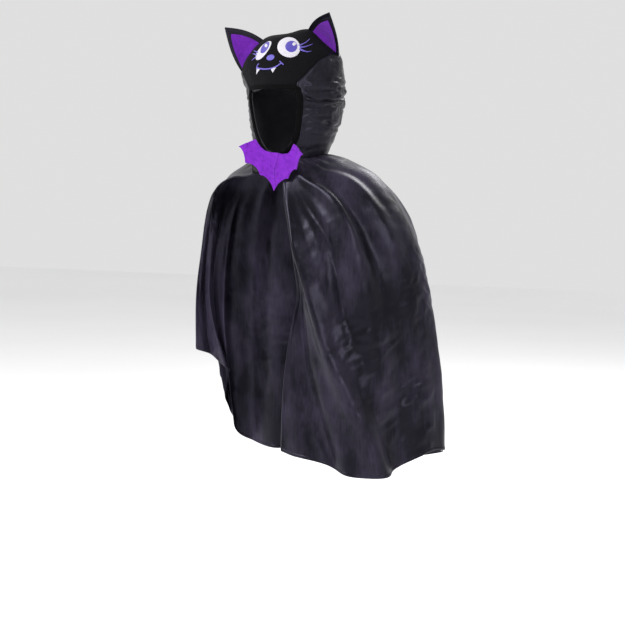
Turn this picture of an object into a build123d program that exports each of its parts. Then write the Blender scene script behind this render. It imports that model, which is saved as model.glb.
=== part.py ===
from build123d import *

import os
from math import cos, pi, radians, sin

# A child's dress-up bat cape with an attached eared hood, as it hangs on its wearer.
# Millimetres. The wearer faces -Y, +X is the wearer's left and +Z is up.
# The origin is the centre of the neckline, where the hood is sewn to the cape.

# ---- driving dimensions ---------------------------------------------------------------
CLOTH = 1.2                 # satin, with its turnings
LINING = 1.0                # hood lining
PATCH = 0.8                 # each layer of felt or embroidery on the hood
FELT = 1.6                  # collar felt
SEAM_GAP = 0.4              # clearance where one body meets another
HEAD_ROLL = radians(6.5)    # the worn hood leans to the wearer's right
ROLL_HEIGHT = 111.0         # the lean has grown to its full angle here
SIDE_SPLIT = 95.0           # the cape's sides swing up outside this distance from the middle
COLLAR_Y = -82.0            # front face of the felt collar
COLLAR_TILT = 6.0           # degrees, wearer's right side higher
BINDING_WIDTH = 8.0
FACE_TOP = 128.0            # top edge of the face opening
CROWN_BACK = 20.0           # the face panel ends this far behind the neck's centre
SECTION_POINTS = 24
REACH = 400.0               # longer than anything that a cutting block has to pass through

# Hood sections: height, centre x, centre y, half width, front depth, back depth, and how
# square the front is (2 is an ellipse).
HOOD = [
    (SEAM_GAP, 0, 0, 64, 66, 70, 2.0),
    (38, 2, 4, 80, 90, 80, 1.75),
    (72, 3.2, 8, 88, 108, 93, 1.62),
    (111, 3.0, 12, 93, 120, 103, 1.6),
    (134, 0.6, 13.5, 94.5, 119, 98, 1.62),
    (150, -1.1, 14, 94.5, 112, 95, 1.75),
    (173, -3.7, 15, 92, 104, 92, 2.0),
    (194, -6.1, 16, 85, 97, 84, 2.1),
    (212, -8.2, 16, 72, 84, 70, 2.1),
    (226, -9.7, 16, 55, 66, 52, 2.05),
    (234, -10.6, 16, 37, 45, 34, 2.0),
    (237.5, -11.1, 16, 14, 17, 13, 2.0),
]

# Cape ribs, each from the neckline to the hem, from the wearer's left front edge, over the
# left arm and across the back to the right front edge, which is thrown behind the arm.
RIBS = [
    [(15, -68, -4), (20, -74, -34), (32, -90, -90), (52, -103, -160),
     (60, -104, -235), (52, -105, -310), (38, -108, -430), (34, -110, -557)],
    [(44, -54, -3), (72, -60, -26), (112, -66, -58), (140, -84, -110),
     (154, -98, -200), (156, -102, -330), (166, -108, -460), (180, -112, -592)],
    [(68, -8, -2), (108, 4, -9), (160, 18, -33), (208, 28, -92),
     (242, 34, -163), (264, 38, -260), (276, 42, -400), (281, 44, -560)],
    [(48, 51, -2), (86, 74, -12), (128, 92, -44), (170, 104, -105),
     (192, 112, -200), (204, 124, -330), (214, 138, -460), (222, 150, -590)],
    [(0, 73, -2), (0, 89, -14), (0, 100, -50), (0, 108, -110),
     (0, 113, -200), (0, 124, -330), (0, 138, -460), (0, 150, -598)],
    [(-48, 51, -2), (-86, 74, -12), (-126, 90, -44), (-162, 98, -105),
     (-182, 104, -200), (-190, 108, -330), (-188, 116, -460), (-184, 122, -582)],
    [(-68, -8, -2), (-108, 10, -14), (-156, 26, -42), (-190, 42, -100),
     (-216, 62, -180), (-230, 74, -270), (-226, 86, -350), (-208, 96, -432)],
    [(-15, -68, -4), (-50, -70, -34), (-105, -50, -40), (-160, -20, -62),
     (-210, 30, -110), (-242, 56, -200), (-257, 62, -290), (-260, 65, -396)],
]

# The face opening from below the chin, up one side, across and down the other (x, z).
OPENING_LOW = (2, 9)
OPENING_LEFT = [(21, 15), (35, 39), (45.5, 73), (51, 106), (48.5, 124)]
OPENING_TOP = [42, -39]
OPENING_RIGHT = [(-45.5, 124), (-49, 108), (-43, 72), (-34, 38), (-20, 14)]

# Seams between the face panel and the sides, from the face opening upwards (x, z).
SEAM_LEFT = [(54, 126), (66, 162), (77, 189), (95, 196)]
SEAM_RIGHT = [(-48, 126), (-64, 148), (-80, 164), (-98, 168)]

# Neckline: band inside the neck, tabs of the front closure and label.
BAND_RADII = (62, 64)
BAND_THICKNESS = 2.0
BAND_HEIGHT = 13.0
BAND_OPENING = (-6, 36)       # from x to x, at the front
TAB_HEIGHT = 28.0
TAB_THICKNESS = 1.4
TAB_SPAN = 38.0             # under the loose half of the collar
STAY_SPAN = 22.0            # under the fixed half of the collar
FASTENER = (26, 1.2, 22)
LABEL = (26, 0.6, 44)

# Half of the bat-shaped collar, flat, before it is tilted (x, z).
COLLAR_TOP = [(0, 9), (26, 10), (33, 16), (42, 30), (70, 13)]
COLLAR_WING_TIPS = [(70, 13), (56, -17), (31, -37), (0, -64)]
COLLAR_SCALLOP = 6.0

# Ear corners: where the base starts and ends on the hood, and the tip.
EARS = {
    "left": [(40, -4, 238), (94, 25, 196), (99, -36, 268)],
    "right": [(-60, -14, 230), (-104, -15, 172), (-127, -36, 251)],
}
EAR_ROOT = {"left": 0.0, "right": 0.03}   # how far the ear reaches below its base line
EAR_ARCH = 5.0              # the middle of the base rides over the hood by this much
EAR_BOW = 5.0               # how far each side edge swells outwards
EAR_CUP = 9.0               # how hollow the front is
EAR_TIP = 0.97              # the tip is blunted here
EAR_LAYERS = {"back": (0.0, 1.0), "wadding": (1.0, 4.0), "front": (4.0, 5.0)}
EAR_FELT = (5.2, 6.2)
FELT_INSET = 0.15           # satin border round the felt, as a share of the width
FELT_TOP = 0.8

# Embroidered face, seen from the front: centre (x, z), radii and tilt in degrees.
EYES = {"left": (27.3, 207, 24.5, 15.8, -39), "right": (-23.3, 201.7, 20.2, 12.0, 57)}
IRISES = {"left": (32.2, 208.3, 12.6, 8.6, -47), "right": (-20.3, 207.2, 10.6, 8.0, 75)}
GLINTS = {"left": (35.2, 213, 3.7, 2.5, -48), "right": (-18.8, 211, 4.4, 2.6, -35)}
LASHES = {
    "left": [((43, 210), (51, 222)), ((45.5, 207), (60, 214)), ((46, 204), (63, 199))],
    "right": [((-32, 198), (-51, 203)), ((-34, 193), (-50, 196)), ((-35, 190), (-47, 184))],
}
STITCH_WIDTH = 2.6
NOSE = (-1, 187.6)
NOSE_RADII = (8.2, 5.6)
MOUTH = [(-31, 170.6), (-6, 165.8), (24, 178)]
MOUTH_TICKS = [((-25, 177), (-30, 167)), ((18.5, 181), (27.4, 173.4))]
FANGS = {
    "left": [(3.6, 165), (14.4, 168.4), (9.2, 158.4)],
    "right": [(-29.8, 167), (-20.2, 165), (-29, 156.4)],
}


def export(shape, name):
    """Write one node's STEP file."""
    shape.label = name
    export_step(shape, f"parts/{name}.step")


# ---- shared helpers -------------------------------------------------------------------
def roll_at(height):
    """The hood's lean at a height, easing in from the neck."""
    x = min(max(height / ROLL_HEIGHT, 0.0), 1.0)
    return HEAD_ROLL * x * x * (3 - 2 * x)


def hood_section(row, grow):
    """One closed section of the hood, grown outwards."""
    height, cx, cy, half, front, back, square = row
    half, front, back = half + grow, front + grow, back + grow
    lean = roll_at(height)
    points = []
    for i in range(SECTION_POINTS):
        turn = 2 * pi * i / SECTION_POINTS
        s, c = sin(turn), cos(turn)
        power = square if c > 0 else 2.0
        depth = front if c > 0 else back
        k = (abs(s) ** power + abs(c) ** power) ** (-1 / power)
        x = half * s * k
        points.append((cx + x * cos(lean), cy - depth * c * k, height + x * sin(lean)))
    return Face(Wire(Edge.make_spline([Vector(*p) for p in points], periodic=True)))


def hood_form(grow):
    """The closed hood form, grown by a distance, from the neck to the crown."""
    top = (HOOD[-1][0] + grow,) + HOOD[-1][1:]
    return loft([hood_section(row, grow) for row in HOOD[:-1] + [top]], ruled=True)


def front_prism(outline, near=-REACH, far=0.0):
    """A block whose front outline is drawn in x and z, from y = near to y = far."""
    plane = Plane(origin=(0, far, 0), x_dir=(1, 0, 0), z_dir=(0, -1, 0))
    return extrude(plane * outline, amount=far - near)


def side_block(low_x, high_x):
    """A tall block between two x values."""
    width = high_x - low_x
    return Pos((low_x + high_x) / 2, 0, -100) * Box(width, 2 * REACH, 3 * REACH)


def patch_solid(outer, inner):
    """A sheet between two grids of points of the same size."""
    top = Face.make_surface_from_array_of_points(outer)
    bottom = Face.make_surface_from_array_of_points(inner)
    walls = []
    for edge in top.edges():
        mate = min(bottom.edges(), key=lambda e: (e.center() - edge.center()).length)
        walls.append(Face.make_surface_from_curves(edge, mate))
    return Solid(Shell([top, bottom] + walls))


def normals(grid):
    """Unit normals of a grid of points, from its neighbours."""
    rows, cols = len(grid), len(grid[0])
    result = []
    for i in range(rows):
        line = []
        for j in range(cols):
            along = grid[min(i + 1, rows - 1)][j] - grid[max(i - 1, 0)][j]
            across = grid[i][min(j + 1, cols - 1)] - grid[i][max(j - 1, 0)]
            line.append(along.cross(across).normalized())
        result.append(line)
    return result


def offset_grid(grid, distance):
    """The grid moved along its normals."""
    directions = normals(grid)
    return [[p + n * distance for p, n in zip(row, line)]
            for row, line in zip(grid, directions)]


# ---- cape -----------------------------------------------------------------------------
def cape_sheet():
    """The whole cape as one sheet, open at the front."""
    outer = [[Vector(*p) for p in rib] for rib in RIBS]
    return patch_solid(outer, offset_grid(outer, CLOTH))


def make_cape():
    sheet = cape_sheet()
    edge = SIDE_SPLIT + SEAM_GAP
    export(sheet & side_block(-SIDE_SPLIT, SIDE_SPLIT), "cape_back")
    export(sheet & side_block(edge, REACH), "cape_left_side")
    export(sheet & side_block(-REACH, -edge), "cape_right_side")


def make_neckline():
    """The band inside the neckline, the two tabs of the front closure and the label."""
    across, deep = BAND_RADII
    ring = Ellipse(across, deep) - Ellipse(across - BAND_THICKNESS, deep - BAND_THICKNESS)
    band = Pos(0, 1, -SEAM_GAP) * extrude(ring, amount=-BAND_HEIGHT)
    start, end = BAND_OPENING
    band -= Pos((start + end) / 2, -65, 0) * Box(end - start, 40, 60)
    export(band, "neck_band")
    plate = Pos(-26, -76.8, -17) * Box(TAB_SPAN, TAB_THICKNESS, TAB_HEIGHT)
    export(plate + Pos(-26, -73.5, -5) * Box(26, 7, 2), "closure_tab")
    plate = Pos(19, -79.7, -17) * Box(STAY_SPAN, TAB_THICKNESS, TAB_HEIGHT)
    export(plate + Pos(19, -76, -5) * Box(STAY_SPAN, 7, 2), "collar_stay")
    export(Pos(-26, -78.1, -17) * Box(*FASTENER), "loop_patch")
    export(Pos(0, deep - BAND_THICKNESS - 1.1, -26) * Box(*LABEL), "care_label")


# ---- collar ---------------------------------------------------------------------------
def collar_half(side):
    """One half of the bat, mirrored for the wearer's right, with its scalloped edge."""
    top = Polyline(*[(side * x, z) for x, z in COLLAR_TOP])
    arcs = []
    for start, end in zip(COLLAR_WING_TIPS, COLLAR_WING_TIPS[1:]):
        bow = -COLLAR_SCALLOP
        middle = Vector((start[0] + end[0]) / 2 - 2, (start[1] + end[1]) / 2 - bow)
        points = [(side * start[0], start[1]), (side * middle.X, middle.Y),
                  (side * end[0], end[1])]
        arcs.append(ThreePointArc(*points))
    crease = Line((0, -64), (0, 9))
    return make_face([top, *arcs, crease])


def make_collar():
    tilt = Rot(0, COLLAR_TILT, 0)
    near = COLLAR_Y
    plate = front_prism(collar_half(1), near, near + FELT)
    flap = front_prism(collar_half(-1), near, near + FELT)
    gap = side_block(-SEAM_GAP / 2, SEAM_GAP / 2)
    export(tilt * (plate - gap), "collar_left_half")
    export(tilt * (flap - gap), "collar_flap")
    hook = Pos(-28, near + FELT + 0.5, -18) * Box(24, 1.0, 22)
    export(tilt * hook, "hook_patch")


# ---- hood -----------------------------------------------------------------------------
def opening_outline(grow=0.0):
    """The face opening seen from the front, or the same outline moved outwards."""
    top = FACE_TOP + grow
    low = (OPENING_LOW[0], OPENING_LOW[1] - grow)
    left = [(x + grow, z) for x, z in OPENING_LEFT[:-1]]
    right = [(x - grow, z) for x, z in OPENING_RIGHT[1:]]
    left.append((OPENING_LEFT[-1][0] + grow, OPENING_LEFT[-1][1] + grow))
    right.insert(0, (OPENING_RIGHT[0][0] - grow, OPENING_RIGHT[0][1] + grow))
    corners = Polyline(left[-1], *[(x, top) for x in OPENING_TOP], right[0])
    return make_face([Spline(low, *left), corners, Spline(*right, low)])


def crown_outline():
    """Everything above the face panel's two seams, seen from the front."""
    beyond = [(150, 200), (150, 300), (-150, 300), (-150, 165)]
    return make_face([Polyline(*SEAM_LEFT, *beyond, *reversed(SEAM_RIGHT), close=True)])


def make_hood(forms):
    outer, inner, lining_in, patch_out = forms
    opening = front_prism(opening_outline())
    slit = Pos(0, -60, 0) * Box(1.0, 100, 30)
    shell = outer - inner - opening - slit
    crown = front_prism(crown_outline(), -REACH, CROWN_BACK)
    sides = shell - crown
    export(shell & crown, "hood_face_panel")
    export(sides & side_block(0, REACH), "hood_left_side")
    export(sides & side_block(-REACH, 0), "hood_right_side")
    export(inner - lining_in - opening - slit, "hood_lining")
    around = front_prism(opening_outline(BINDING_WIDTH))
    export(((patch_out - outer) & around) - opening - slit, "face_binding")


def oval(x, z, across, high, tilt):
    return Pos(x, z) * Rot(0, 0, tilt) * Ellipse(across, high)


def make_eye(side, layers):
    """Eye white, iris, glint and lashes on one side of the face panel."""
    white_layer, iris_layer, glint_layer = layers
    white = oval(*EYES[side])
    export(white_layer & front_prism(white), f"{side}_eye_white")
    export(iris_layer & front_prism(oval(*IRISES[side])), f"{side}_eye_iris")
    export(glint_layer & front_prism(oval(*GLINTS[side])), f"{side}_eye_glint")
    lashes = Sketch() + [stroke(start, end) for start, end in LASHES[side]] - white
    export(white_layer & front_prism(lashes), f"{side}_eye_lashes")


def stroke(start, end):
    """An embroidered bar between two points."""
    along = Vector(*end) - Vector(*start)
    middle = (Vector(*start) + Vector(*end)) * 0.5
    angle = Vector(1, 0, 0).get_signed_angle(along)
    return Pos(middle.X, middle.Y) * Rot(0, 0, angle) * SlotCenterToCenter(along.length, STITCH_WIDTH)


def make_face_features(layers):
    """The bat's embroidered nose, mouth and fangs."""
    layer = layers[0]
    export(layer & front_prism(Pos(*NOSE) * Ellipse(*NOSE_RADII)), "nose")
    smile = trace(ThreePointArc(*MOUTH), line_width=STITCH_WIDTH)
    mouth = smile + [stroke(start, end) for start, end in MOUTH_TICKS]
    for side, corners in FANGS.items():
        fang = make_face([Polyline(*corners, close=True)]) - mouth
        export(layer & front_prism(fang), f"{side}_fang")
    export(layer & front_prism(mouth), "mouth")


# ---- ears -----------------------------------------------------------------------------
def ear_grid(side, depth, across=(0.0, 1.0), up=(0.0, EAR_TIP)):
    """Points of one layer of an ear, at a depth in front of its back."""
    inner, outer, tip = (Vector(*p) for p in EARS[side])
    base = outer - inner
    rise = (tip - (inner + outer) * 0.5).normalized()
    front = base.cross(rise).normalized()
    if front.Y > 0:
        front = front * -1
    low = -EAR_ROOT[side] if up[0] == 0 else up[0]
    grid = []
    for j in range(7):
        t = low + (up[1] - low) * j / 6
        row = []
        for i in range(7):
            s = across[0] + (across[1] - across[0]) * i / 6
            dome = 4 * s * (1 - s)
            foot = inner + base * s + rise * (EAR_ARCH * dome)
            bow = base.normalized() * (EAR_BOW * sin(pi * max(t, 0)) * (2 * s - 1))
            hollow = front * (EAR_CUP * dome * (1 - t))
            row.append(foot * (1 - t) + tip * t + bow - hollow + front * depth)
        grid.append(row)
    return grid


def make_ear(side):
    for layer, (low, high) in EAR_LAYERS.items():
        export(patch_solid(ear_grid(side, high), ear_grid(side, low)), f"{side}_ear_{layer}")
    inset = (FELT_INSET, 1 - FELT_INSET)
    span = (0.04, FELT_TOP)
    felt = [ear_grid(side, depth, inset, span) for depth in reversed(EAR_FELT)]
    export(patch_solid(*felt), f"{side}_ear_felt")


def main():
    os.makedirs("parts", exist_ok=True)
    make_cape()
    make_neckline()
    make_collar()
    outer, inner, lining_in = hood_form(0), hood_form(-CLOTH), hood_form(-CLOTH - LINING)
    raised = [hood_form(PATCH * i) for i in (1, 2, 3)]
    make_hood((outer, inner, lining_in, raised[0]))
    layers = [high - low for high, low in zip(raised, [outer] + raised)]
    for side in EYES:
        make_eye(side, layers)
        make_ear(side)
    make_face_features(layers)


main()
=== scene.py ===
import math

import bpy
import numpy as np
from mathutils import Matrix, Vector, noise
from mathutils.bvhtree import BVHTree


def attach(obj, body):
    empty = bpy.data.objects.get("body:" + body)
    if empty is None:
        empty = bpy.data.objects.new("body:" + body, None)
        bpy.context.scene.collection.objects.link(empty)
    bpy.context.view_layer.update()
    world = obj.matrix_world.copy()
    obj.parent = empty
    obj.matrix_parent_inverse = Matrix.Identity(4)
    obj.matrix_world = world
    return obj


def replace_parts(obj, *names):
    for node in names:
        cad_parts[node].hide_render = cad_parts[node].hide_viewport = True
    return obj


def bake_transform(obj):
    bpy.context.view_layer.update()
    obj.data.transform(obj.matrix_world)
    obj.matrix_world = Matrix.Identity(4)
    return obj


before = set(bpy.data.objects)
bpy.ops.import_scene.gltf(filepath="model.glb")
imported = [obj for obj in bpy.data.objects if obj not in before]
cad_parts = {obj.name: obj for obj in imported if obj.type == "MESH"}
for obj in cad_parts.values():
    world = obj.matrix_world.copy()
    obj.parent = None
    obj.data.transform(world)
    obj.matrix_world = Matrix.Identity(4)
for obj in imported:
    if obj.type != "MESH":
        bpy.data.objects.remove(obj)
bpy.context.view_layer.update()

MM = 0.001

# Thickness of each cloth, in mm.
CAPE_SATIN = 1.0
HOOD_SATIN = 1.2
HOOD_JERSEY = 1.4
HOOD_LINING = 0.8
COLLAR_FELT = 2.2

# ---- shape of the worn hood, in millimetres ---------------------------------------------
# Height, centre x and y, half width, front and back depth, squareness of the front.
HOOD = np.array([
    (-4, 0, 0, 63, 65, 69, 2.0),
    (0.4, 0, 0, 64, 66, 70, 2.0),
    (38, 2, 4, 80, 90, 80, 1.75),
    (72, 3.2, 8, 88, 108, 93, 1.62),
    (111, 3.0, 12, 93, 120, 103, 1.6),
    (134, 0.6, 13.5, 94.5, 119, 98, 1.62),
    (150, -1.1, 14, 94.5, 112, 95, 1.75),
    (173, -3.7, 15, 92, 104, 92, 2.0),
    (194, -6.1, 16, 85, 97, 84, 2.1),
    (212, -8.2, 16, 72, 84, 70, 2.1),
    (226, -9.7, 16, 55, 66, 52, 2.05),
    (234, -10.6, 16, 37, 45, 34, 2.0),
    (237.5, -11.1, 16, 18, 22, 17, 2.0),
    (238.6, -11.2, 16, 0.2, 0.2, 0.2, 2.0),
])
HOOD_TOP = 238.6
HEAD_ROLL = math.radians(6.5)
ROLL_HEIGHT = 111.0
FACE_TOP = 128.0
# The face opening from the chin round the wearer's left to the right (x, z).
OPENING = [(2, 9), (24, 14), (41, 37), (49.5, 72), (53.3, 106), (51.5, 122), (45, 128.5), (2, 129),
           (-39, 128), (-46, 123), (-49, 108), (-43, 72), (-34, 38), (-20, 14)]
# Soft lumps of padding: centre (x, y, z), reach and lift.
LUMPS = [((36, 0, 238), 27, 7.5), ((-98, -16, 166), 30, 10.0), ((-50, -8, 233), 22, 3.0),
         ((-4, -14, 238), 20, -2.0), ((92, 26, 192), 24, 6.0)]
# Where the face panel is sewn to the side panels: height and turn in degrees.
CROWN_SEAM = np.array([(126, 35), (135, 36), (154, 48), (172, 60), (186, 80), (198, 97),
                       (212, 103), (HOOD_TOP, 104)])

# Creases round the sides of the hood: height, width, depth, length and phase of their wave.
HOOD_CREASES = [(113, 3.2, 4.2, 26, 0.3), (101, 2.6, 2.6, 19, 2.1), (132, 3.6, 2.2, 31, 1.2),
                (64, 3.4, 2.4, 23, 4.0), (46, 4.2, 2.0, 34, 0.8), (20, 4.5, 1.6, 30, 2.6)]

EARS = {
    "left": [(37, -4, 244), (98, 28, 194), (100, -36, 273)],
    "right": [(-57, -14, 230), (-106, -18, 163), (-128, -36, 251)],
}

# ---- shape of the worn cape -------------------------------------------------------------
# Ribs from the neckline to the hem, from the wearer's left front edge round to the right.
RIBS = np.array([
    [(15, -68, -4), (20, -74, -34), (32, -90, -90), (52, -103, -160),
     (60, -104, -235), (52, -105, -310), (38, -108, -430), (34, -110, -557)],
    [(44, -54, -3), (72, -60, -26), (112, -66, -58), (140, -84, -110),
     (154, -98, -200), (156, -102, -330), (166, -108, -460), (180, -112, -592)],
    [(68, -8, -2), (108, 4, -9), (160, 18, -33), (208, 28, -92),
     (242, 34, -163), (264, 38, -260), (276, 42, -400), (281, 44, -560)],
    [(48, 51, -2), (86, 74, -12), (128, 92, -44), (170, 104, -105),
     (192, 112, -200), (204, 124, -330), (214, 138, -460), (222, 150, -590)],
    [(0, 73, -2), (0, 89, -14), (0, 100, -50), (0, 108, -110),
     (0, 113, -200), (0, 124, -330), (0, 138, -460), (0, 150, -598)],
    [(-48, 51, -2), (-86, 74, -12), (-126, 90, -44), (-162, 98, -105),
     (-182, 104, -200), (-190, 108, -330), (-188, 116, -460), (-184, 122, -582)],
    [(-68, -8, -2), (-108, 10, -14), (-156, 26, -42), (-190, 42, -100),
     (-216, 62, -180), (-230, 74, -270), (-226, 86, -350), (-208, 96, -432)],
    [(-15, -68, -4), (-50, -70, -34), (-105, -50, -40), (-160, -20, -62),
     (-210, 30, -110), (-242, 56, -200), (-257, 62, -290), (-260, 65, -396)],
], float)
BACK_RIB = 4
LAST_RIB = len(RIBS) - 1
LAST_ROW = RIBS.shape[1] - 1

# Folds of the cape: (row, rib) points down the fold, half width in ribs, height in mm.
FOLDS = [
    ([(1.2, 0.10), (3.2, 0.20), (5.0, 0.74), (6.0, 1.08), (7.0, 1.36)], 0.13, 20),
    ([(3.0, 0.02), (4.6, 0.10), (5.8, 0.40), (7.0, 0.74)], 0.20, -22),
    ([(0.5, 0.45), (1.4, 0.72), (2.6, 1.02), (4.2, 1.26), (5.4, 1.36)], 0.15, 16),
    ([(0.9, 0.64), (1.8, 0.96), (3.0, 1.26), (4.6, 1.50)], 0.11, -12),
    ([(0.6, 1.05), (1.8, 1.42), (3.2, 1.66), (5.6, 1.76)], 0.17, 11),
    ([(0.9, 1.36), (2.2, 1.62), (4.4, 1.80), (5.8, 1.86)], 0.12, -7),
    ([(1.2, 0.36), (2.6, 0.56), (4.0, 0.92), (5.4, 1.22)], 0.10, -10),
    ([(3.8, 1.70), (5.2, 1.64), (7.0, 1.58)], 0.13, -13),
    ([(4.6, 1.05), (5.8, 1.30), (7.0, 1.50)], 0.08, -7),
    ([(4.2, 2.20), (7.0, 2.25)], 0.16, 8),
    ([(1.4, 2.75), (4.0, 2.80), (7.0, 2.72)], 0.15, 13),
    ([(1.8, 3.10), (4.0, 3.12), (7.0, 3.10)], 0.14, -12),
    ([(1.2, 3.42), (4.0, 3.45), (7.0, 3.50)], 0.16, 15),
    ([(1.6, 3.80), (4.0, 3.80), (7.0, 3.84)], 0.13, -12),
    ([(1.2, 4.14), (4.0, 4.12), (7.0, 4.20)], 0.15, 14),
    ([(1.8, 4.48), (4.0, 4.46), (7.0, 4.52)], 0.13, -13),
    ([(1.2, 4.80), (4.0, 4.80), (7.0, 4.86)], 0.14, 13),
    ([(2.0, 5.20), (4.4, 5.28), (7.0, 5.24)], 0.12, -11),
    ([(2.4, 5.56), (4.6, 5.66), (7.0, 5.58)], 0.13, 12),
    ([(3.4, 6.05), (5.2, 6.08), (7.0, 6.02)], 0.12, -10),
    ([(3.0, 6.40), (5.0, 6.50), (7.0, 6.46)], 0.13, 10),
]

# Crumpled patches: row, rib and size.
CRUMPLES = [(5.2, 1.1, 1.0), (5.35, 1.45, 0.9), (6.1, 1.35, 1.0), (6.25, 1.7, 0.9),
            (4.4, 2.7, 0.9), (5.3, 4.5, 1.0), (3.8, 5.4, 0.9), (5.6, 3.3, 0.9)]

# How far the hem hangs below the ribs' ends: rib, spread in ribs, drop in mm.
HEM_DROPS = [(0.55, 0.25, -9), (1.42, 0.30, 16), (6.2, 0.3, 8)]

# The bat-shaped collar: half of its upper and lower edges (x, z).
COLLAR_TOP = [(0, 9), (14, 8), (26, 10), (33, 16), (42, 30), (50, 26), (70, 13)]
COLLAR_HALF_WIDTH = COLLAR_TOP[-1][0]
COLLAR_TIPS = [(70, 13), (56, -17), (31, -37), (0, -64)]
COLLAR_Y = -82.8
COLLAR_TILT = math.radians(6)


# ---- materials ----------------------------------------------------------------------------
class Socket:
    """A shader socket that adds Math nodes when it is used in arithmetic."""

    def __init__(self, board, link):
        self.board, self.link = board, link

    def _math(self, operation, a, b):
        return self.board.add("ShaderNodeMath", dict(operation=operation), {0: a, 1: b})

    def __add__(self, other): return self._math("ADD", self, other)
    def __radd__(self, other): return self._math("ADD", other, self)
    def __mul__(self, other): return self._math("MULTIPLY", self, other)
    def __rmul__(self, other): return self._math("MULTIPLY", other, self)


class Board:
    """The node tree of one material."""

    def __init__(self, name):
        self.material = bpy.data.materials.new(name)
        self.material.use_nodes = True
        self.tree = self.material.node_tree
        self.shader = self.tree.nodes["Principled BSDF"]

    def add(self, kind, settings=None, values=None, output=0):
        """Add a node, set it up, and give back one of its outputs."""
        node = self.tree.nodes.new(kind)
        for key, value in (settings or {}).items():
            if key == "stops":
                self.fill_ramp(node.color_ramp, value)
            else:
                setattr(node, key, value)
        for key, value in (values or {}).items():
            self.feed(node.inputs[key], value)
        return Socket(self, node.outputs[output])

    def feed(self, socket, value):
        if isinstance(value, Socket):
            self.tree.links.new(value.link, socket)
        else:
            socket.default_value = value

    @staticmethod
    def fill_ramp(ramp, stops):
        while len(ramp.elements) < len(stops):
            ramp.elements.new(0.5)
        for element, (place, colour) in zip(ramp.elements, stops):
            element.position = place
            element.color = colour

    def noise(self, scale, detail=3.0, vector=None, rough=0.5):
        values = {"Scale": scale, "Detail": detail, "Roughness": rough}
        values["Vector"] = vector or self.place()
        return self.add("ShaderNodeTexNoise", None, values)

    def place(self, scale=(1, 1, 1)):
        """Object coordinates, stretched."""
        where = self.add("ShaderNodeTexCoord", None, None, "Object")
        return self.add("ShaderNodeMapping", None, {"Vector": where, "Scale": scale})

    def flat(self, scale=(1, 1, 1)):
        """The piece's own UV map, stretched."""
        where = self.add("ShaderNodeTexCoord", None, None, "UV")
        return self.add("ShaderNodeMapping", None, {"Vector": where, "Scale": scale})

    def ramp(self, factor, stops):
        return self.add("ShaderNodeValToRGB", dict(stops=stops), {"Fac": factor})

    def waves(self, scale, vector, direction="X", distortion=0.0):
        settings = dict(wave_type="BANDS", bands_direction=direction)
        values = {"Scale": scale, "Vector": vector, "Distortion": distortion}
        return self.add("ShaderNodeTexWave", settings, values)

    def bump(self, height, strength, distance, before=None):
        values = {"Height": height, "Strength": strength, "Distance": distance}
        if before is not None:
            values["Normal"] = before
        return self.add("ShaderNodeBump", None, values)

    def finish(self, **values):
        """Set the shader's sockets: underscores stand for spaces."""
        for key, value in values.items():
            self.feed(self.shader.inputs[key.replace("_", " ")], value)
        return self.material


def rgb(r, g, b):
    return (r, g, b, 1.0)


def shade(colour, share):
    """A colour made darker or lighter."""
    return rgb(*(part * share for part in colour))


def satin(name, dark, light, roughness):
    """Black satin: fine weave and small wrinkles, with its sheen painted into the colour as brushed
    lighter patches.
    """
    board = Board(name)
    slub = board.noise(300.0, 2.0, board.place((1, 1, 0.1)))
    painted_sheen_patches = board.noise(7.5, 5.0, board.place((1.3, 1.3, 0.6)), rough=0.6)
    crumple = board.noise(34.0, 4.0, board.place((1, 1, 0.45)), rough=0.5)
    weave = board.waves(620.0, board.place(), "DIAGONAL", 1.5)
    # Painted sheen: the colour goes from dark to light with the sheen patches, the crumples and the
    # slub, as painted highlights on the satin.
    tone = painted_sheen_patches * 0.74 + crumple * 0.14 + slub * 0.12
    colour = board.ramp(tone, [(0.44, dark), (0.63, light)])
    shine = painted_sheen_patches * 0.2 + weave * 0.04 + (roughness - 0.12)
    fold = board.bump(crumple, 0.2, 0.004)
    cloth = board.bump(weave * 0.6 + slub * 0.4, 0.16, 0.0004, fold)
    return board.finish(Base_Color=colour, Roughness=shine, Normal=cloth, IOR=1.28,
                        Specular_IOR_Level=0.5, Specular_Tint=rgb(0.74, 0.7, 0.94),
                        Sheen_Weight=0.04, Sheen_Roughness=0.4,
                        Sheen_Tint=rgb(0.6, 0.56, 0.75))


def jersey(name, colour, scale=420.0):
    """Matt brushed knit."""
    board = Board(name)
    pile = board.noise(scale, 3.0, rough=0.7)
    cloud = board.noise(14.0, 3.0)
    tone = board.ramp(cloud * 0.5 + pile * 0.5,
                      [(0.3, shade(colour, 0.7)), (0.7, shade(colour, 1.5))])
    return board.finish(Base_Color=tone, Roughness=cloud * 0.15 + 0.78,
                        Normal=board.bump(pile, 0.5, 0.0008),
                        IOR=1.15, Sheen_Weight=0.015, Sheen_Roughness=0.5)


def felt(name, dark, light):
    """Pressed felt: matted fibres and a mottled colour."""
    board = Board(name)
    mottle = board.noise(120.0, 6.0, rough=0.7)
    fibre = board.noise(900.0, 4.0, board.place((1, 1, 0.25)), rough=0.7)
    cloud = board.noise(22.0, 3.0)
    mix = mottle * 0.5 + fibre * 0.3 + cloud * 0.2
    colour = board.ramp(mix, [(0.36, dark), (0.62, light)])
    return board.finish(Base_Color=colour, Roughness=cloud * 0.1 + 0.85,
                        Normal=board.bump(fibre, 0.6, 0.0007, board.bump(mottle, 0.4, 0.0012)),
                        Specular_IOR_Level=0.12, Sheen_Weight=0.1, Sheen_Roughness=0.6,
                        Sheen_Tint=rgb(0.75, 0.55, 0.95))


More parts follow.
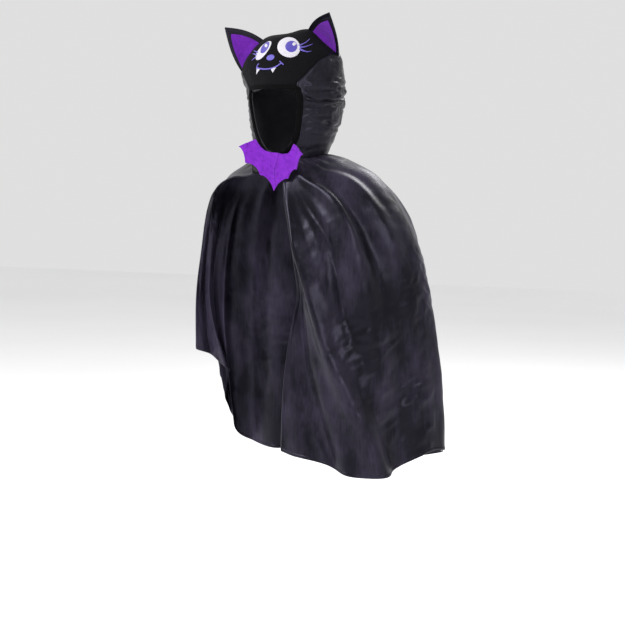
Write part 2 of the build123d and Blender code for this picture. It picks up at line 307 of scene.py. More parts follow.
def embroidery(name, dark, light, direction="Z"):
    """Close satin stitches with a silky thread."""
    board = Board(name)
    stitch = board.waves(260.0, board.place(), direction, 1.4)
    tone = board.noise(60.0, 3.0)
    colour = board.ramp(stitch * 0.55 + tone * 0.45, [(0.25, dark), (0.7, light)])
    return board.finish(Base_Color=colour, Roughness=tone * 0.2 + 0.38,
                        Normal=board.bump(stitch, 0.5, 0.0006),
                        Specular_IOR_Level=0.45, Sheen_Weight=0.15)


def ribbed(name, colour):
    """Ribbed knit binding, ribs across the band from its own UV map."""
    board = Board(name)
    ribs = board.waves(1.0, board.flat((260.0, 1.0, 1.0)), "X", 0.4)
    fuzz = board.noise(600.0, 3.0)
    tone = board.ramp(ribs * 0.6 + fuzz * 0.4,
                      [(0.2, shade(colour, 0.6)), (0.8, shade(colour, 1.6))])
    return board.finish(Base_Color=tone, Roughness=fuzz * 0.1 + 0.8,
                        Normal=board.bump(ribs, 0.6, 0.0008, board.bump(fuzz, 0.3, 0.0005)),
                        IOR=1.15)


def pile_tape(name, colour):
    """Hook and loop tape."""
    board = Board(name)
    tuft = board.add("ShaderNodeTexVoronoi", None, {"Scale": 900.0, "Vector": board.place()})
    tone = board.ramp(tuft, [(0.1, shade(colour, 1.8)), (0.7, shade(colour, 0.5))])
    return board.finish(Base_Color=tone, Roughness=0.7, Normal=board.bump(tuft, 0.8, 0.0008),
                        Specular_IOR_Level=0.3)


FINISH = {
    # Each satin's lighter colour is its painted sheen, painted brighter on the cape than on the
    # hood.
    "black_satin": satin("black_satin", rgb(0.0012, 0.001, 0.002),
                         rgb(0.023, 0.019, 0.033), 0.35),
    "hood_satin": satin("hood_satin", rgb(0.001, 0.0009, 0.0014),
                        rgb(0.0085, 0.0075, 0.0115), 0.35),
    "black_jersey": jersey("black_jersey", (0.0026, 0.0024, 0.0032)),
    # The lining is black jersey, painted much lighter than the outer jersey as painted light for its
    # shaded inside.
    "lining": jersey("lining", (0.05, 0.048, 0.055), 700.0),
    "black_tape": jersey("black_tape", (0.005, 0.005, 0.0055), 800.0),
    "ribbed_binding": ribbed("ribbed_binding", (0.0016, 0.0016, 0.002)),
    "purple_felt": felt("purple_felt", rgb(0.07, 0.003, 0.20), rgb(0.155, 0.013, 0.36)),
    "ear_felt": felt("ear_felt", rgb(0.055, 0.003, 0.16), rgb(0.105, 0.009, 0.26)),
    "white_thread": embroidery("white_thread", rgb(0.34, 0.32, 0.38),
                               rgb(0.5, 0.49, 0.52)),
    "violet_iris": embroidery("violet_iris", rgb(0.02, 0.012, 0.17),
                              rgb(0.055, 0.036, 0.33)),
    "violet_thread": embroidery("violet_thread", rgb(0.045, 0.03, 0.24),
                                rgb(0.1, 0.075, 0.4), "X"),
    "touch_fastener": pile_tape("touch_fastener", (0.012, 0.012, 0.012)),
    "label_tape": embroidery("label_tape", rgb(0.5, 0.5, 0.48), rgb(0.65, 0.65, 0.63)),
}


# ---- cloth helpers ------------------------------------------------------------------------
def smooth_rows(rows, x):
    """Every column of a table at x, along a smooth curve through its rows."""
    keys = rows[:, 0]
    x = np.clip(np.asarray(x, float), keys[0], keys[-1])
    slope = np.gradient(rows, axis=0) / np.gradient(keys)[:, None]
    k = np.clip(np.searchsorted(keys, x, side="right") - 1, 0, len(keys) - 2)
    step = keys[k + 1] - keys[k]
    t = ((x - keys[k]) / step)[..., None]
    a, b = rows[k], rows[k + 1]
    da, db = slope[k] * step[..., None], slope[k + 1] * step[..., None]
    return ((2 * t**3 - 3 * t**2 + 1) * a + (t**3 - 2 * t**2 + t) * da
            + (3 * t**2 - 2 * t**3) * b + (t**3 - t**2) * db)


def through(p0, p1, p2, p3, f):
    """A share f of the way from p1 to p2, on the smooth curve through all four."""
    return 0.5 * (2 * p1 + (p2 - p0) * f + (2 * p0 - 5 * p1 + 4 * p2 - p3) * f**2
                  + (3 * p1 - p0 - 3 * p2 + p3) * f**3)


def ease(x):
    """A smooth step from 0 to 1."""
    x = np.clip(x, 0.0, 1.0)
    return x * x * (3 - 2 * x)


def lean_at(height):
    """How far the hood is rolled to one side at a height."""
    return HEAD_ROLL * ease(np.asarray(height) / ROLL_HEIGHT)


def hood_form(turn, height, grow):
    """Points of the plain hood, in mm: turn from its front in radians, height up it."""
    values = smooth_rows(HOOD, height)
    cx, cy, half, front, back, square = (values[..., i] for i in range(1, 7))
    s, c = np.sin(turn), np.cos(turn)
    power = np.where(c > 0, square, 2.0)
    out = grow * ease((HOOD_TOP - height) / 5)
    depth = np.where(c > 0, front, back) + out
    k = (np.abs(s) ** power + np.abs(c) ** power) ** (-1 / power)
    x = (half + out) * s * k
    lean = lean_at(height)
    rise = grow * ease((height - 205) / 33)
    return np.stack([cx + x * np.cos(lean), cy - depth * c * k,
                     height + rise + x * np.sin(lean)], -1)


def on_hood(turn, height, grow=0.0):
    """Points of the worn hood, whose padding stands out in a few soft lumps."""
    turn, height, grow = np.broadcast_arrays(turn, height, grow)
    plain = hood_form(turn, height, 0.0 * grow)
    lift = sum(high * np.exp(-np.sum((plain - centre) ** 2, -1) / reach**2)
               for centre, reach, high in LUMPS)
    return hood_form(turn, height, grow + lift)


def seen_at(x, z):
    """Turn and height of the hood's front where it is seen at x, z from the front."""
    x, z = np.broadcast_arrays(np.asarray(x, float), np.asarray(z, float))
    height = z.copy()
    for _ in range(5):
        low, high = np.full(x.shape, -1.57), np.full(x.shape, 1.57)
        for _ in range(26):
            middle = (low + high) / 2
            left = on_hood(middle, height)[..., 0] < x
            low, high = np.where(left, middle, low), np.where(left, high, middle)
        turn = (low + high) / 2
        height = np.clip(height + z - on_hood(turn, height)[..., 2], -4, HOOD_TOP)
    return turn, height


def ripple(points, scale, seed=0.0, octaves=3):
    """Smooth noise, about -1 to 1, at each point."""
    flat = np.reshape(points, (-1, 3)) * scale
    shift = Vector((seed, seed, seed))
    found = [noise.fractal(Vector(p) + shift, 0.9, 2.0, octaves) for p in flat]
    return np.reshape(found, np.shape(points)[:-1])


def points_of(piece):
    """The piece's points, in metres."""
    flat = np.empty(len(piece.data.vertices) * 3)
    piece.data.vertices.foreach_get("co", flat)
    return flat.reshape(-1, 3)


def move_points(piece, points):
    """Puts the piece's points at places given in mm."""
    piece.data.vertices.foreach_set("co", (points * MM).ravel())
    piece.data.update()


def clear_selection():
    if bpy.context.object and bpy.context.object.mode != "OBJECT":
        bpy.ops.object.mode_set(mode="OBJECT")
    bpy.ops.object.select_all(action="DESELECT")


def cloth(name, columns, rows, place, finish, thickness=0.0, offset=-1.0, closed=False):
    """A grid of cloth whose points are put in place by a function of u and v, in mm."""
    clear_selection()
    bpy.ops.mesh.primitive_grid_add(x_subdivisions=columns, y_subdivisions=rows, size=1)
    piece = bpy.context.object
    piece.name = piece.data.name = name
    flat = points_of(piece)
    move_points(piece, place(flat[:, 0] + 0.5, flat[:, 1] + 0.5))
    if closed:
        bpy.ops.object.mode_set(mode="EDIT")
        bpy.ops.mesh.select_all(action="SELECT")
        bpy.ops.mesh.remove_doubles(threshold=0.00005)
        bpy.ops.mesh.normals_make_consistent(inside=False)
        bpy.ops.object.mode_set(mode="OBJECT")
    if thickness:
        shell = piece.modifiers.new("thickness", "SOLIDIFY")
        shell.thickness = thickness * MM
        shell.offset = offset
        bpy.ops.object.modifier_apply(modifier=shell.name)
    bpy.ops.object.shade_smooth()
    piece.data.materials.clear()
    piece.data.materials.append(FINISH[finish])
    return piece


# ---- hood ---------------------------------------------------------------------------------
def side_edge(side):
    """Height and turn of a side panel's front edge: chin, face opening, then crown seam."""
    points = [(-4.0, 0.004), (7.5, 0.01)]
    outline = OPENING[1:6] if side > 0 else OPENING[:8:-1]
    for x, z in outline:
        turn, height = seen_at(x, z)
        points.append((float(height), abs(float(turn))))
    last = points[-1][0]
    points += [(h, math.radians(t)) for h, t in CROWN_SEAM if h > last + 3]
    return np.array(points)


def crumple(points, height):
    """Depth of the creases in the satin sides of the hood."""
    wander = ripple(points, 0.018, 5.0, 2) * 9
    level = points[..., 2] + wander
    along = points[..., 1] - points[..., 0] * 0.4
    creases = 0.0
    for centre, width, depth, rate, shift in HOOD_CREASES:
        line = centre + 4.5 * np.sin(along / rate + shift)
        creases = creases - depth * np.exp(-((level - line) / width) ** 2)
        creases = creases + depth * 0.6 * np.exp(-((level - line - 1.9 * width) / width) ** 2)
    squeezed = points * (0.45, 0.45, 1.15)
    ridged = 0.5 - np.abs(ripple(squeezed, 0.05, 11.0, 2)) * 1.6
    fine = ripple(points * (0.7, 0.7, 1.1), 0.085, 3.0)
    low = ease((height - 34) / 24) * (1 - ease((height - 128) / 26))
    low = low * (0.35 + 0.65 * ease((points[..., 0] + 60) / 60))
    return (low * (ridged * 3.0 + fine * 1.2) + creases * (0.45 + 0.55 * low)
            + (1 - low) * fine * 0.8)


def seam_dip(distance, along):
    """A sewn seam pulls the cloth in and puckers it: distance from the seam in mm."""
    pucker = 0.5 + 0.5 * np.sin(along * 0.55)
    return -(1.0 + 0.5 * pucker) * np.exp(-(distance / 2.6) ** 2)


def make_side_panel(name, side):
    """One satin side of the hood, from the face to the seam at the centre back."""
    edge = side_edge(side)

    def place(u, v):
        height = -3.0 + (HOOD_TOP + 3.0) * np.sin(v * math.pi / 2) ** 0.92
        start = np.interp(height, edge[:, 0], edge[:, 1])
        turn = start + (math.pi - start) * u
        bare = on_hood(turn * side, height)
        gap = u * (math.pi - start) * 95
        back = (1 - u) * (math.pi - start) * 95
        grow = crumple(bare, height) * ease((gap - 7) / 16) * ease((HOOD_TOP - height) / 18)
        grow = grow + seam_dip(back, height) + seam_dip(gap, height) * (height > FACE_TOP)
        return on_hood(turn * side, height, grow)

    return cloth(name, 130, 170, place, "hood_satin", HOOD_SATIN, side)


def make_face_panel(name):
    """The matt panel over the forehead and crown."""
    def place(u, v):
        height = np.full(u.shape, FACE_TOP) + (HOOD_TOP - FACE_TOP) * np.sin(v * math.pi / 2)
        for _ in range(3):
            edge = np.radians(np.interp(height, CROWN_SEAM[:, 0], CROWN_SEAM[:, 1]))
            turn = edge * (2 * u - 1)
            bare = on_hood(turn, height)
            floor = FACE_TOP - (bare[:, 2] - height) * (1 - v) ** 2
            height = floor + (HOOD_TOP - floor) * np.sin(v * math.pi / 2)
        gap = (edge - np.abs(turn)) * 85
        soft = ripple(bare, 0.022, 7.0) * 1.1 + ripple(bare, 0.06, 2.0) * 0.35
        top = ease((HOOD_TOP - height) / 12)
        grow = soft * ease(gap / 12) * top + seam_dip(gap, height) * top
        return on_hood(turn, height, grow)

    return cloth(name, 150, 120, place, "black_jersey", HOOD_JERSEY, -1.0)


def make_lining(name):
    """One piece of lining just inside the outer cloth."""
    left, right = side_edge(1), side_edge(-1)

    def place(u, v):
        height = -2.0 + (HOOD_TOP - 1.0) * np.sin(v * math.pi / 2)
        low = np.interp(height, left[:, 0], left[:, 1])
        high = np.interp(height, right[:, 0], right[:, 1])
        closed = ease((height - FACE_TOP) / 0.6)
        low, high = low * (1 - closed), high * (1 - closed)
        turn = low + (2 * math.pi - high - low) * u
        return on_hood(turn, height, -3.4 + 0.6 * ripple(on_hood(turn, height), 0.05))

    return cloth(name, 150, 90, place, "lining", HOOD_LINING, -1.0)


def outline_curve(corners, count):
    """A closed smooth curve through corners: points and outward normals, in x and z."""
    corners = np.array(corners, float)
    n = len(corners)
    t = np.linspace(0, n, count, endpoint=False)
    k = t.astype(int)
    f = (t - k)[:, None]
    p0, p1, p2, p3 = (corners[(k + i) % n] for i in (-1, 0, 1, 2))
    points = through(p0, p1, p2, p3, f)
    ahead = np.roll(points, -1, 0) - np.roll(points, 1, 0)
    normal = np.stack([ahead[:, 1], -ahead[:, 0]], 1)
    return points, normal / np.linalg.norm(normal, axis=1)[:, None]


def make_binding(name, width=7.2, height=4.4):
    """The ribbed band that is folded over the edge of the face opening."""
    count = 480
    points, normal = outline_curve(OPENING, count)

    def place(u, v):
        index = np.round(u * count).astype(int) % count
        angle = v * 2 * math.pi
        across = width / 2 - 0.6 + (width / 2 + 0.6) * np.cos(angle)
        lift = height / 2 * np.sign(np.sin(angle)) * np.abs(np.sin(angle)) ** 0.7 + 0.3
        spot = points[index] + normal[index] * across[:, None]
        return on_hood(*seen_at(spot[:, 0], spot[:, 1]), lift)

    return cloth(name, count + 1, 21, place, "ribbed_binding", closed=True)


# ---- embroidered face -----------------------------------------------------------------------
def sew_on(piece, lift):
    """Lay a flat motif, drawn in x and z with its relief towards -y, on the hood."""
    flat = points_of(piece) / MM
    turn, height = seen_at(flat[:, 0], flat[:, 2])
    move_points(piece, on_hood(turn, height, lift - flat[:, 1]))
    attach(piece, "hood")
    return piece


def oval(name, centre, radii, relief, finish, lift, tilt=0.0):
    """A filled, slightly domed patch of stitching."""
    clear_selection()
    x, z = centre
    c, s = math.cos(math.radians(tilt)), math.sin(math.radians(tilt))
    bpy.ops.mesh.primitive_uv_sphere_add(segments=64, ring_count=32, radius=1)
    piece = bpy.context.object
    piece.name = piece.data.name = name
    for vertex in piece.data.vertices:
        a = math.atan2(vertex.co.z, vertex.co.x)
        swell = 1 + 0.006 * math.sin(29 * a + x)
        across, up = vertex.co.x * radii[0] * swell, vertex.co.z * radii[1] * swell
        shape = math.copysign(abs(vertex.co.y) ** 0.6, vertex.co.y)
        vertex.co = Vector(((x + across * c - up * s) * MM, shape * relief * MM,
                            (z + across * s + up * c) * MM))
    bpy.ops.object.shade_smooth()
    piece.data.materials.append(FINISH[finish])
    return sew_on(piece, lift)


def stitched_line(name, path, width, finish, lift, taper=0.0):
    """A raised line of stitching along a smooth path of x, z points."""
    table = np.column_stack([np.arange(float(len(path))), np.array(path, float)])

    def place(u, v):
        along = u * (len(path) - 1)
        spot = smooth_rows(table, along)[..., 1:]
        ahead = (smooth_rows(table, along + 0.05) - smooth_rows(table, along - 0.05))[..., 1:]
        ahead /= np.linalg.norm(ahead, axis=1)[:, None] + 1e-9
        ends = np.sqrt(np.clip(1 - (2 * u - 1) ** 12, 0, 1))
        half = width / 2 * ends * (1 - taper * u)
        angle = v * 2 * math.pi
        side = np.cos(angle) * half
        return np.stack([spot[:, 0] - ahead[:, 1] * side, np.sin(angle) * 0.8 * ends,
                         spot[:, 1] + ahead[:, 0] * side], 1)

    piece = cloth(name, 33, 13, place, finish, closed=True)
    return sew_on(piece, lift)


def fang(name, left, right, point):
    """A small three-cornered tooth."""
    def place(u, v):
        top = np.array(left) + np.outer(u, np.array(right) - left)
        spot = top * (1 - v)[:, None] + np.outer(v, point)
        dome = 0.9 * np.sqrt(np.clip(1 - (2 * u - 1) ** 2, 0, 1)) * (1 - v) ** 0.4
        return np.stack([spot[:, 0], -dome, spot[:, 1]], 1)

    piece = cloth(name, 17, 19, place, "white_thread", 0.6, 1.0)
    return sew_on(piece, 0.6)


EYES = {
    "left": dict(white=((27.3, 207), (24.5, 15.8), -39), iris=((32.2, 208.3), (12.9, 8.6), -47),
                 glint=((35.2, 213), (3.7, 2.5), -48),
                 lashes=[[(43, 210), (47.5, 213.2), (50.6, 217.4), (51.6, 224.4)],
                         [(45.5, 207), (52, 207.7), (57, 210.6), (60.2, 215)],
                         [(46, 204.4), (53.6, 200.4), (59.8, 198.6), (64.5, 200)]]),
    "right": dict(white=((-23.3, 201.7), (20.2, 12.0), 57), iris=((-20.3, 207.2), (11.2, 8.4), 75),
                  glint=((-18.8, 211), (4.4, 2.6), -35),
                  lashes=[[(-32, 197.6), (-38, 199.6), (-44, 201), (-51.5, 202.8)],
                          [(-34, 193.4), (-39, 194.8), (-45, 196.2), (-51, 196.6)],
                          [(-35, 189.8), (-39, 188.6), (-43, 186.4), (-47.5, 183.4)]]),
}


def make_eye(side, white, iris, glint, lashes):
    """One eye's three patches, each on the one below, and its lashes."""
    parts = dict(white=(white, 0.9, "white_thread", 0.4), iris=(iris, 0.8, "violet_iris", 1.1),
                 glint=(glint, 0.6, "white_thread", 1.8))
    for kind, ((centre, radii, tilt), relief, finish, lift) in parts.items():
        patch = oval(f"{side}_eye_{kind}_patch", centre, radii, relief, finish, lift, tilt)
        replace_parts(patch, f"{side}_eye_{kind}")
    for i, path in enumerate(lashes):
        lash = stitched_line(f"{side}_lash_{i + 1}", path, 3.4, "violet_thread", 0.5, 0.72)
        if i == 0:
            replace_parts(lash, f"{side}_eye_lashes")


def make_face_motif():
    """The bat's face: eyes, nose, smile and fangs."""
    for side, parts in EYES.items():
        make_eye(side, **parts)
    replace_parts(oval("nose_patch", (-1, 187.6), (8.2, 5.6), 1.0, "violet_thread", 0.5, 5), "nose")
    smile = [(-31, 170.6), (-27, 168.6), (-19, 166.8), (-7.3, 165.8), (4.4, 166.9), (14.6, 170.7),
             (23.4, 177.6)]
    mouth = stitched_line("mouth_line", smile, 2.8, "violet_thread", 0.9)
    corners = dict(right=[(-25, 177), (-29, 172.6), (-30, 166)],
                   left=[(18.5, 180.6), (22.7, 177), (27.4, 173.4)])
    for side, path in corners.items():
        stitched_line(f"mouth_corner_{side}", path, 2.2, "violet_thread", 0.9)
    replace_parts(mouth, "mouth")
    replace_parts(fang("left_fang_patch", (3.6, 166), (14.4, 169.4), (9.2, 158.4)), "left_fang")
    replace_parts(fang("right_fang_patch", (-29.8, 167.6), (-20.2, 166), (-29, 156.4)), "right_fang")


# ---- ears -----------------------------------------------------------------------------------
def hood_skin():
    """The worn hood as a surface that can be asked for its nearest point."""
    across, up = 181, 110
    turn, height = np.meshgrid(np.linspace(-math.pi, math.pi, across),
                               np.linspace(0, HOOD_TOP, up))
    points = on_hood(turn, height).reshape(-1, 3)
    corner = (np.arange(up - 1)[:, None] * across + np.arange(across - 1)).ravel()
    quads = np.stack([corner, corner + 1, corner + across + 1, corner + across], 1)
    return BVHTree.FromPolygons(points.tolist(), quads.tolist())


def ear_frame(side):
    """An ear's inner corner, base, tip, upward and forward directions."""
    inner, outer, tip = (np.array(p, float) for p in EARS[side])
    base = outer - inner
    rise = tip - (inner + outer) / 2
    rise /= np.linalg.norm(rise)
    front = np.cross(base, rise)
    front /= np.linalg.norm(front)
    return inner, base, tip, rise, front * (-1 if front[1] > 0 else 1)


def ear_point(side, s, t, depth, skin):
    """A point of the ear: s across from its inner edge, t up to its tip."""
    inner, base, tip, rise, front = ear_frame(side)

    def column(a):
        return np.asarray(a)[:, None]

    line = inner + column(s) * base
    foot = np.array([skin.find_nearest(Vector(p))[0] for p in line]) - rise * 3.5
    unit = base / np.linalg.norm(base)
    dome = 4 * s * (1 - s)
    bow = column(7.0 * np.sin(math.pi * np.clip(t, 0, 1)) * (2 * s - 1)) * unit
    hollow = column(7.0 * dome * (1 - t) * ease(t / 0.25)) * front
    return foot * (1 - column(t)) + tip * column(t) + bow - hollow + column(depth) * front


def around(u, flatness):
    """A flat loop with rounded edges: how far across, and how far out."""
    c, s = np.cos(2 * math.pi * u), np.sin(2 * math.pi * u)
    return 0.5 - 0.5 * np.sign(c) * np.abs(c) ** 0.7, np.sign(s) * np.abs(s) ** flatness


def make_ear(side, skin):
    """A padded satin ear and its felt inset."""
    def cover(u, v):
        s, out = around(u, 0.4)
        wave = 0.5 * np.sin(9 * v + 7 * s) * np.sin(math.pi * s)
        seam = -0.9 * np.exp(-((np.minimum(s, 1 - s) * (1 - v) * 56 - 3.2) / 1.0) ** 2) * (out > 0)
        return ear_point(side, s, v * 0.985, 2.6 + out * (2.7 - 1.2 * v**3) + wave + seam, skin)

    def inset(u, v):
        q, out = around(u, 0.4)
        t = 0.035 + 0.725 * v
        s = 0.5 + (2 * q - 1) * 0.36 * (1 - v) ** 0.92 / (1 - t)
        ends = np.clip(1 - (2 * v - 1) ** 14, 0, 1) ** 0.5
        return ear_point(side, s, t, 5.3 + 0.9 * out * ends, skin)

    satin_ear = cloth(f"{side}_ear_cover", 97, 60, cover, "hood_satin", closed=True)
    purple = cloth(f"{side}_ear_inset", 65, 44, inset, "ear_felt", closed=True)
    inner, base, _, rise, _ = ear_frame(side)
    middle = inner + base / 2
    for piece in (satin_ear, purple):
        (middle - rise * 9) * MM
        (middle + rise * 9) * MM
        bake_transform(piece)
    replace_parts(satin_ear, f"{side}_ear_back", f"{side}_ear_front", f"{side}_ear_wadding")
    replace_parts(purple, f"{side}_ear_felt")


# ---- collar ---------------------------------------------------------------------------------
def scallop(a, b, count=9, bow=6.0):
    """Points of a hollow curve from one wing tip to the next."""
    a, b = np.array(a, float), np.array(b, float)
    t = np.linspace(0, 1, count)[:, None]
    return a + (b - a) * t + np.array((-0.35, 1.0)) * bow * (4 * t * (1 - t)) ** 0.9


def collar_edges():
    """Upper and lower edges of half the collar, as x, z tables with rising x."""
    low = np.concatenate([scallop(a, b)[:-1] for a, b in zip(COLLAR_TIPS, COLLAR_TIPS[1:])]
                         + [np.array([COLLAR_TIPS[-1]], float)])
    return np.array(COLLAR_TOP, float), low[::-1]


def make_collar():
    """The felt bat, creased down the middle where its loose half opens."""
    top, low = collar_edges()
    order = np.argsort(low[:, 0])
    low = low[order]

    def place(u, v):
        x = (2 * u - 1)
        across = np.abs(x) ** 0.92 * COLLAR_HALF_WIDTH
        upper = np.interp(across, top[:, 0], top[:, 1])
        under = np.interp(across, low[:, 0], low[:, 1])
        z = under + (upper - under) * v
        side = np.sign(x) * across
        overlap = side - 3.0 - 3.0 * np.sin((z + 8) / 12)
        crease = 1.6 * np.exp(-(overlap / 4.5) ** 2) + 1.1 * np.tanh(overlap / 0.8)
        crease = crease - 2.4 * np.exp(-(overlap / 1.1) ** 2)
        wing = 5.5 * ease((across - 40) / 30) - 5.0 * ease((z - 6) / 24) * (across < 56)
        waves = 1.2 * np.sin(side / 13 + z / 21)
        y = COLLAR_Y - crease - wing - waves
        c, s = math.cos(COLLAR_TILT), math.sin(COLLAR_TILT)
        slip = 11 * (1 - ease((across - 22) / 46)) * ease((34 - z) / 30)
        return np.stack([(side + slip) * c + z * s, y, z * c - side * s], 1)

    piece = cloth("bat_collar", 190, 70, place, "purple_felt", COLLAR_FELT, 0.0)
    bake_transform(piece)
    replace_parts(piece, "collar_left_half", "collar_flap")


# ---- cape -----------------------------------------------------------------------------------
def rib_surface(s, t):
    """The cape's smooth form: s counts ribs, t counts rows down each rib."""
    rows = np.stack([smooth_rows(np.column_stack([np.arange(LAST_ROW + 1.0), rib]), t)[..., 1:]
                     for rib in RIBS])
    k = np.clip(np.floor(s).astype(int), 0, LAST_RIB - 1)
    f = (s - k)[..., None]

    def pick(i):
        rib = np.clip(k + i, 0, LAST_RIB)
        return np.take_along_axis(rows, rib[None, ..., None], 0)[0]

    return through(*(pick(i) for i in (-1, 0, 1, 2)), f)


def fold_height(s, t):
    """How far the folds lift the cloth from its smooth form."""
    lift = np.zeros_like(s)
    for path, width, height in FOLDS:
        path = np.array(path)
        centre = smooth_rows(path, t)[..., 1]
        start, end = path[0, 0], path[-1, 0]
        grow = ease((t - start) / 2.2) * (1 if end >= LAST_ROW else 1 - ease((t - end + 1) / 1.5))
        lift += height * grow * np.exp(-((s - centre) / width) ** 2)
    return lift


def neckline_pull(base, t):
    """Draws the top edge in at the back, so that it meets the hem of the hood."""
    x, y = base[..., 0], base[..., 1]
    reach = np.hypot(x / 63.5, y / np.where(y > 0, 69.5, 65.5))
    near = (1 - ease(t / 0.35)) * ease((y + 45) / 35)
    return 1 + near * (1 / reach - 1)


def cape_point(s, t):
    """Points of the draped cape and the directions that face out from it."""
    base = rib_surface(s, t)
    base[..., :2] *= neckline_pull(base, t)[..., None]
    e = 0.02
    across = (rib_surface(np.clip(s + e, 0, LAST_RIB), t)
              - rib_surface(np.clip(s - e, 0, LAST_RIB), t))
    down = (rib_surface(s, np.clip(t + e, 0, LAST_ROW))
            - rib_surface(s, np.clip(t - e, 0, LAST_ROW)))
    room = np.clip(np.linalg.norm(across, axis=-1) / (2 * e * 95), 0, 1) ** 1.5
    normal = np.cross(down, across)
    normal /= np.linalg.norm(normal, axis=-1)[..., None] + 1e-9
    gathers = 1.1 * np.sin(s * 21 + 1.5 * np.sin(s * 5)) * (1 - ease(t / 1.5)) * ease(t / 0.25)
    laid = np.stack([s * 90, t * 36, 0 * s], -1)
    laid[..., 0] += 14 * np.sin(t * 0.9 + s)
    soft = ripple(laid, 0.017, 1.0, 2) * 4.5 * ease(t / 3.5)
    wrinkle = ripple(laid * (1.0, 1.5, 1.0), 0.05, 4.0, 2) * 1.2 * ease((t - 1.2) / 3)
    base[..., 2] += 8 * np.exp(-((s - 2.25) / 0.55) ** 2 - (t / 1.0) ** 2)
    tired = ease(ripple(laid, 0.02, 9.0, 1) * 2.2 - 0.05)
    tired = tired * ease((t - 2) / 2) * ease((s - 0.7) / 0.4)
    creased = tired * (0.5 - np.abs(ripple(laid * (0.8, 2.6, 1.0), 0.045, 6.0, 2))) * 4.5
    crumpled = 0.0
    for row, rib, size in CRUMPLES:
        near = np.exp(-((t - row) / (0.4 * size)) ** 2 - ((s - rib) / (0.4 * size)) ** 2)
        grain = ripple(laid * (0.7, 2.8, 1.0), 0.055, rib * 7, 2)
        crumpled = crumpled + near * (0.55 - 1.6 * np.abs(grain)) * 3.0
    seam = seam_dip((s - BACK_RIB) * 90, t * 85) * ease(t)
    lift = fold_height(s, t) + gathers + soft + (wrinkle + creased + crumpled) * room + seam
    hang = sum(drop * np.exp(-((s - rib) / spread) ** 2) for rib, spread, drop in HEM_DROPS)
    point = base + normal * lift[..., None]
    point[..., 2] -= hang * ease((t - 5.2) / 1.8)
    return point, normal


def make_cape_half(name, first, last, side):
    """Half of the cape, from one front edge to the seam at the centre back."""
    def place(u, v):
        return cape_point(first + (last - first) * u, LAST_ROW * v)[0]

    piece = cloth(name, 190, 220, place, "black_satin", CAPE_SATIN, 0.0)
    hem = make_hem(name + "_hem", first, last, side)
    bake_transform(piece)
    return piece


def make_hem(name, first, last, side, width=7.0):
    """The narrow turned hem down the front edge and along the bottom."""
    front_count, hem_count = 200, 220
    count = front_count + hem_count
    front = first if side > 0 else last
    back = last if side > 0 else first
    down = np.linspace(0.15, LAST_ROW, front_count)
    along = np.linspace(front, back, hem_count)
    s = np.concatenate([np.full(front_count, float(front)), along])
    t = np.concatenate([down, np.full(hem_count, float(LAST_ROW))])
    inside_s = np.clip(s + (0.06 if side > 0 else -0.06) * (t < LAST_ROW), 0, LAST_RIB)
    inside_t = np.where(t >= LAST_ROW, LAST_ROW - 0.06, t)
    edge, normal = cape_point(s, t)
    inward = cape_point(inside_s, inside_t)[0] - edge
    inward /= np.linalg.norm(inward, axis=1)[:, None]

    def place(u, v):
        index = np.round(u * (count - 1)).astype(int)
        angle = v * 2 * math.pi
        reach = width / 2 - 1 + width / 2 * np.cos(angle)
        thick = 1.3 * np.sin(angle)
        return (edge[index] + inward[index] * reach[:, None] + normal[index] * thick[:, None])

    piece = cloth(name, count, 11, place, "black_satin", closed=True)
    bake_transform(piece)
    return piece


# ---- build ----------------------------------------------------------------------------------
def build_hood():
    panels = {"left": make_side_panel("hood_left_cloth", 1),
              "right": make_side_panel("hood_right_cloth", -1)}
    for side, piece in panels.items():
        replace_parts(piece, f"hood_{side}_side")
    face = make_face_panel("hood_face_cloth")
    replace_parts(face, "hood_face_panel")
    lining = make_lining("hood_lining_cloth")
    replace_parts(lining, "hood_lining")
    band = make_binding("face_binding_band")
    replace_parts(band, "face_binding")
    for piece in (*panels.values(), lining, band):
        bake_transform(piece)
    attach(face, "hood")


def build_cape():
    left = make_cape_half("cape_left_half", 0, BACK_RIB, 1)
    right = make_cape_half("cape_right_half", BACK_RIB, LAST_RIB, -1)
    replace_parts(left, "cape_back", "cape_left_side")
    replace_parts(right, "cape_right_side")


def finish_cad_nodes():
    """The small sewn parts keep their own shape and get a cloth finish."""
    finishes = dict(neck_band="black_tape", closure_tab="black_tape", collar_stay="black_tape",
                    loop_patch="touch_fastener", hook_patch="touch_fastener",
                    care_label="label_tape")
    for node, finish in finishes.items():
        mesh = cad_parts[node].data
        mesh.materials.clear()
        mesh.materials.append(FINISH[finish])


# ---- camera, lights and floor ---------------------------------------------------------------
CAMERA_AZIMUTH = math.radians(28)
CAMERA_DISTANCE = 3.3
CAMERA_HEIGHT = 0.03
CAMERA_PITCH = math.radians(5.771)
CAMERA_TURN = math.radians(0.691)
CAMERA_LENS = 97.48

SKY_STRENGTH = 0.74
FLOOR_HEIGHT = -0.88
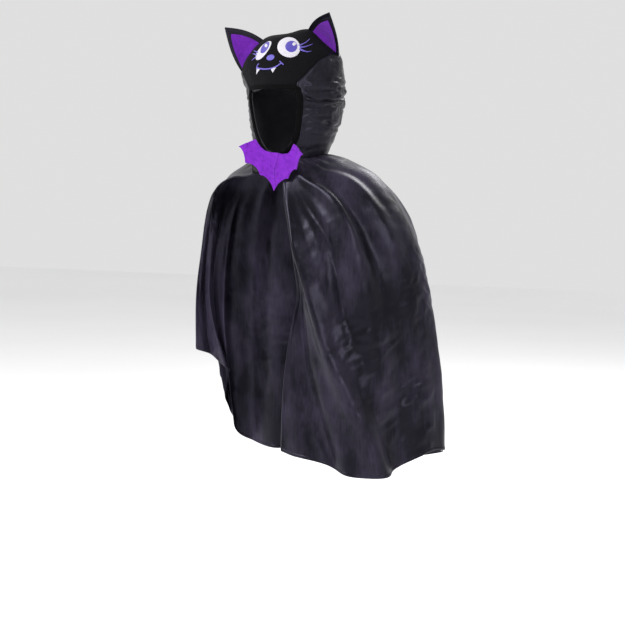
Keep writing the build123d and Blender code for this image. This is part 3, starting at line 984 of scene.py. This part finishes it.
# Soft lamps: place, target, size in metres and power in watts.
LAMPS = {
    "key": ((-1.5, -2.5, 1.9), (0, 0, -0.2), 1.3, 150),
    "fill": ((2.9, -1.8, 1.0), (0, 0, -0.2), 1.2, 55),
    "rim": ((0.4, 2.7, 1.9), (0, 0, -0.1), 1.4, 60),
}


def place_camera():
    data = bpy.data.cameras.new("camera")
    data.lens, data.sensor_width = CAMERA_LENS, 36
    camera = bpy.data.objects.new("camera", data)
    bpy.context.collection.objects.link(camera)
    camera.location = (CAMERA_DISTANCE * math.sin(CAMERA_AZIMUTH),
                       -CAMERA_DISTANCE * math.cos(CAMERA_AZIMUTH), CAMERA_HEIGHT)
    camera.rotation_euler = (math.pi / 2 - CAMERA_PITCH, 0, CAMERA_AZIMUTH - CAMERA_TURN)
    bpy.context.scene.camera = camera


def area_light(name, place, target, size, power):
    data = bpy.data.lights.new(name, "AREA")
    data.shape, data.size, data.energy = "DISK", size, power
    lamp = bpy.data.objects.new(name, data)
    bpy.context.collection.objects.link(lamp)
    lamp.location = place
    lamp.rotation_euler = (Vector(target) - Vector(place)).to_track_quat("-Z", "Y").to_euler()


def light_the_set():
    world = bpy.data.worlds.new("studio")
    bpy.context.scene.world = world
    world.use_nodes = True
    sky = world.node_tree.nodes["Background"]
    sky.inputs["Color"].default_value = rgb(1, 1, 1)
    sky.inputs["Strength"].default_value = SKY_STRENGTH
    for name, setting in LAMPS.items():
        area_light(name, *setting)
    clear_selection()
    bpy.ops.mesh.primitive_plane_add(size=14, location=(0, 0, FLOOR_HEIGHT))
    floor = bpy.context.object
    floor.name = "floor"
    board = Board("floor_paper")
    tone = board.ramp(board.noise(0.8),
                      [(0.3, rgb(0.9, 0.9, 0.905)), (0.7, rgb(0.94, 0.94, 0.945))])
    floor.data.materials.append(board.finish(Base_Color=tone, Roughness=0.8))
    bpy.context.scene.view_settings.view_transform = "Standard"


place_camera()
light_the_set()
build_hood()
make_face_motif()
skin = hood_skin()
for ear_side in EARS:
    make_ear(ear_side, skin)
make_collar()
build_cape()
finish_cad_nodes()
